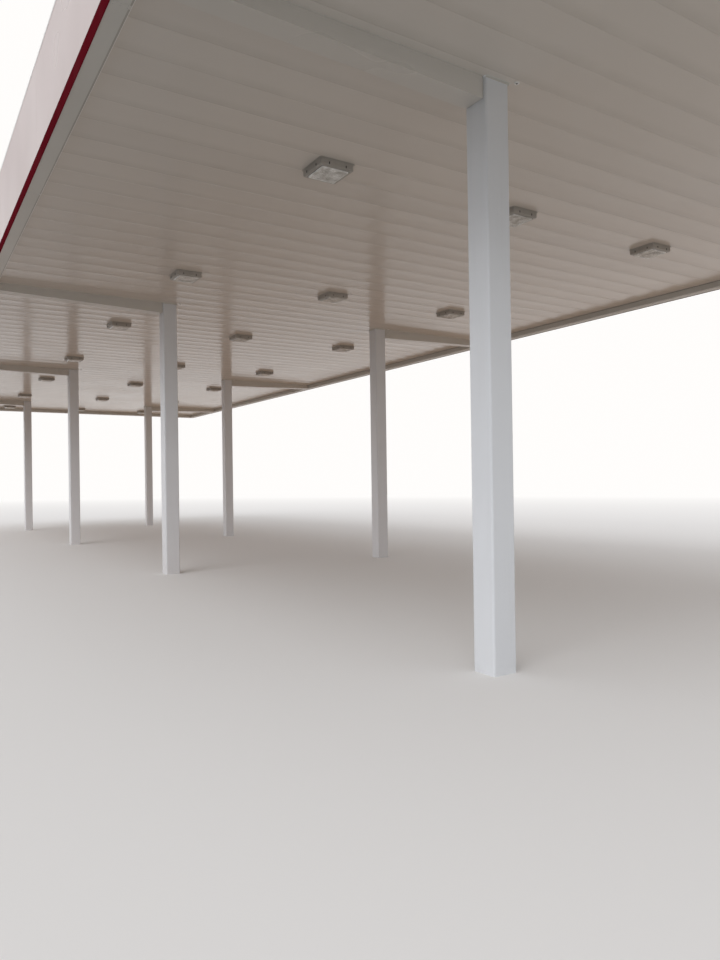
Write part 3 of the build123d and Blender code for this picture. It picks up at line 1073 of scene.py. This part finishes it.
def pipe(bm, points, radius, segments=10):
    """Round tube along a path that lies in one plane."""
    loops = []
    turns = [2 * math.pi * k / segments for k in range(segments)]
    for i, point in enumerate(points):
        before = points[max(i - 1, 0)]
        after = points[min(i + 1, len(points) - 1)]
        along = (after - before).normalized()
        first = along.orthogonal().normalized() if i == 0 else (first - along * first.dot(along)).normalized()
        second = along.cross(first)
        loops.append([point + radius * (first * math.cos(turn) + second * math.sin(turn)) for turn in turns])
    skin(bm, loops)


def junction_box(bm):
    """Pressed box with a lid, four lid screws and a hub for the conduit."""
    block(bm, (-BOX_HALF, -BOX_HALF, 0.0), (BOX_HALF, BOX_HALF, BOX_HEIGHT), BOX_BEVEL)
    lid = BOX_HALF + LID_SIZE
    lid_top = BOX_HEIGHT + LID_SIZE
    block(bm, (-lid, -lid, BOX_HEIGHT), (lid, lid, lid_top), LID_BEVEL)
    hub = CONDUIT_RADIUS + HUB_WALL
    neck, crown = [lid_top + height for height in HUB_HEIGHTS]
    lathe(bm, [(hub, lid_top), (hub, neck), (hub - HUB_TAPER, crown)], HUB_SEGMENTS)
    screw = template(turned, RIVET, LID_SCREW)
    for x, y in corners_of((LID_SCREW_SHARE * BOX_HALF, LID_SCREW_SHARE * BOX_HALF)):
        paste(bm, screw, move(x, y, lid_top))


def conduit_strap(bm):
    """Strap bent over a conduit, with a foot on each side."""
    radius = CONDUIT_RADIUS + STRAP_SHEET
    half, sheet = STRAP_HALF, STRAP_SHEET
    turns = [math.pi * (1 - k / STRAP_ARC_STEPS) for k in range(STRAP_ARC_STEPS + 1)]
    outline = [(-radius - STRAP_FOOT, 0.0), (-radius, 0.0)]
    outline += [(radius * math.cos(turn), CONDUIT_LIFT + radius * math.sin(turn)) for turn in turns]
    outline += [(radius, 0.0), (radius + STRAP_FOOT, 0.0)]
    skin(bm, [[(x, -half, z), (x, half, z), (x, half, z + sheet), (x, -half, z + sheet)] for x, z in outline])


def build_wiring():
    """Conduit along each row of lights, a box on the pan above each light, and one crossing run."""
    pipes = bmesh.new()
    straps, boxes = [], []
    level = PAN_TOP + CONDUIT_LIFT
    rows = sorted({round(centre.x, 3) for centre in LIGHT_CENTRES})
    for x in rows:
        ys = sorted(centre.y for centre in LIGHT_CENTRES if abs(centre.x - x) < MM)
        pipe(pipes, [Vector((x, ys[0], level)), Vector((x, ys[-1], level))], CONDUIT_RADIUS)
        for y in ys:
            boxes.append(move(x, y, SOFFIT + BOX_LIFT))
            pipe(pipes, [Vector((x, y, SOFFIT + BOX_HEIGHT)), Vector((x, y, level))], CONDUIT_RADIUS)
        straps += [move(x, y, PAN_TOP) for y in PAN_JOINTS[::STRAP_EVERY] if ys[0] < y < ys[-1]]
    over = PURLINS[0][1].z + CONDUIT_LIFT
    y = middle(BEAMS[1]).y + CROSSING_OFFSET
    route = [(rows[0], y, level), (rows[0], y, over), (rows[-1], y, over), (rows[-1], y, level)]
    pipe(pipes, bent_path(route, BEND_RADIUS), CONDUIT_RADIUS)
    built("light_conduits", pipes, "zinc")
    copies("conduit_straps", template(conduit_strap), straps, "zinc")
    copies("junction_boxes", template(junction_box), boxes, "zinc")


build_lights()
build_collars()
build_pan_strips()
build_fittings()
build_gutter_laps()
build_leader_trims()
build_fascia_trims()
build_beam_bolts()
build_stiffeners()
build_cap_welds()
build_pan_clips()
build_edge_bolts()
build_wiring()


# Floor, light and camera

BACKDROP = (1.0, 0.985, 0.97, 1.0)
FLOOR_REACH = 300.0
FLOOR_SEEN = (0.80, 0.79, 0.78, 1.0)
FLOOR_SENT_UNDER = ((0.51, 0.505, 0.48, 1.0), (0.52, 0.395, 0.30, 1.0))
FLOOR_SENT_BESIDE = ((0.25, 0.255, 0.25, 1.0), (0.25, 0.21, 0.185, 1.0))
FLOOR_SLANT = 0.8
FLOOR_FRONT_TO_BACK = (-16.0, -6.0)
FLOOR_BESIDE_TO_UNDER = (-6.0, -4.0)
FLOOR_OVAL = (0.8, 0.5, 0.0)
FLOOR_FADE = (13.0, 45.0)
SKY_RIGHT = (0.40, 0.40, 0.41, 1.0)
SKY_LEFT = (1.40, 1.39, 1.41, 1.0)
SKY_TOP = (0.78, 0.77, 0.77, 1.0)
SKY_BRIGHT_SIDE = (-0.8, 0.6, 0.0)
SKY_DARK_TO_BRIGHT = (-0.7, 0.9)
SKY_HORIZON_TO_TOP = (0.0, 0.6)
KEY_ENERGY = 1.1
KEY_SPREAD = 46.0
KEY_COLOUR = (0.95, 0.97, 1.0)
KEY_DIRECTION = (0.80, 0.60, -0.70)


def seen_directly(tree):
    """One for the rays that show a thing to the eye: straight, mirrored or through glass."""
    path = add(tree, "LightPath")
    seen = maths(tree, "MAXIMUM", path.outputs["Is Camera Ray"], path.outputs["Is Glossy Ray"])
    return maths(tree, "MAXIMUM", seen, path.outputs["Is Transmission Ray"])


def floor_material():
    """Pale studio floor; it sends less light up than it shows, as paving would, and least on the left."""
    material = bpy.data.materials.new("floor_pale")
    material.use_nodes = True
    tree = material.node_tree
    tree.nodes.clear()
    seen = seen_directly(tree)
    slant = maths(tree, "ADD", axis(tree, "Y"), times(tree, axis(tree, "X"), FLOOR_SLANT))
    back = between(tree, slant, *FLOOR_FRONT_TO_BACK)
    under = blend(tree, back, *FLOOR_SENT_UNDER)
    beside = blend(tree, back, *FLOOR_SENT_BESIDE)
    sent = blend(tree, between(tree, axis(tree, "X"), *FLOOR_BESIDE_TO_UNDER), beside, under)
    colour = blend(tree, seen, sent, FLOOR_SEEN)
    diffuse = add(tree, "BsdfDiffuse", {"Color": colour}).outputs[0]
    white = add(tree, "Emission", {"Color": BACKDROP, "Strength": 1.0}).outputs[0]
    flat = add(tree, "VectorMath", {0: position(tree, FLOOR_OVAL)}, operation="LENGTH").outputs["Value"]
    far = times(tree, between(tree, flat, *FLOOR_FADE), seen)
    surface = add(tree, "MixShader", {0: far, 1: diffuse, 2: white}).outputs[0]
    output = add(tree, "OutputMaterial")
    tree.links.new(surface, output.inputs["Surface"])
    return material


def build_stage():
    reach = FLOOR_REACH
    mesh = bpy.data.meshes.new("floor")
    corners = [(-reach, -reach, 0), (reach, -reach, 0), (reach, reach, 0), (-reach, reach, 0)]
    mesh.from_pydata(corners, [], [(0, 1, 2, 3)])
    floor = bpy.data.objects.new("floor", mesh)
    bpy.context.scene.collection.objects.link(floor)
    mesh.materials.append(floor_material())


def build_world():
    """White backdrop for the eye, and a soft sky that is brighter at the left and back."""
    world = bpy.data.worlds.new("studio_sky")
    bpy.context.scene.world = world
    world.use_nodes = True
    tree = world.node_tree
    tree.nodes.clear()
    seen = seen_directly(tree)
    direction = add(tree, "TexCoord").outputs["Generated"]
    dot = add(tree, "VectorMath", {0: direction, 1: SKY_BRIGHT_SIDE}, operation="DOT_PRODUCT")
    side = blend(tree, between(tree, dot.outputs["Value"], *SKY_DARK_TO_BRIGHT), SKY_RIGHT, SKY_LEFT)
    height = add(tree, "SeparateXYZ", {0: direction}).outputs["Z"]
    sky = blend(tree, between(tree, height, *SKY_HORIZON_TO_TOP), side, SKY_TOP)
    colour = blend(tree, seen, sky, BACKDROP)
    background = add(tree, "Background", {"Color": colour, "Strength": 1.0}).outputs[0]
    output = add(tree, "OutputWorld")
    tree.links.new(background, output.inputs["Surface"])


def build_key_light():
    """Very soft light from the left and front, low enough to reach the feet of the columns."""
    data = bpy.data.lights.new("key_light", "SUN")
    data.energy = KEY_ENERGY
    data.angle = math.radians(KEY_SPREAD)
    data.color = KEY_COLOUR
    key = bpy.data.objects.new("key_light", data)
    key.rotation_euler = Vector(KEY_DIRECTION).to_track_quat("-Z", "Y").to_euler()
    bpy.context.scene.collection.objects.link(key)


def build_camera():
    data = bpy.data.cameras.new("camera")
    data.sensor_width = FILM_LONG_SIDE
    data.lens = CAMERA_LENS
    data.clip_start, data.clip_end = CAMERA_CLIP
    camera = bpy.data.objects.new("camera", data)
    aim = Euler((math.radians(90.0 + CAMERA_PITCH), 0.0, math.radians(-CAMERA_YAW))).to_matrix().to_4x4()
    roll = Matrix.Rotation(math.radians(CAMERA_ROLL), 4, "Z")
    camera.matrix_world = Matrix.Translation(CAMERA_PLACE) @ aim @ roll
    bpy.context.scene.collection.objects.link(camera)
    bpy.context.scene.camera = camera


paint_frame()
build_stage()
build_world()
build_key_light()
build_camera()
bpy.context.scene.view_settings.view_transform = "Standard"
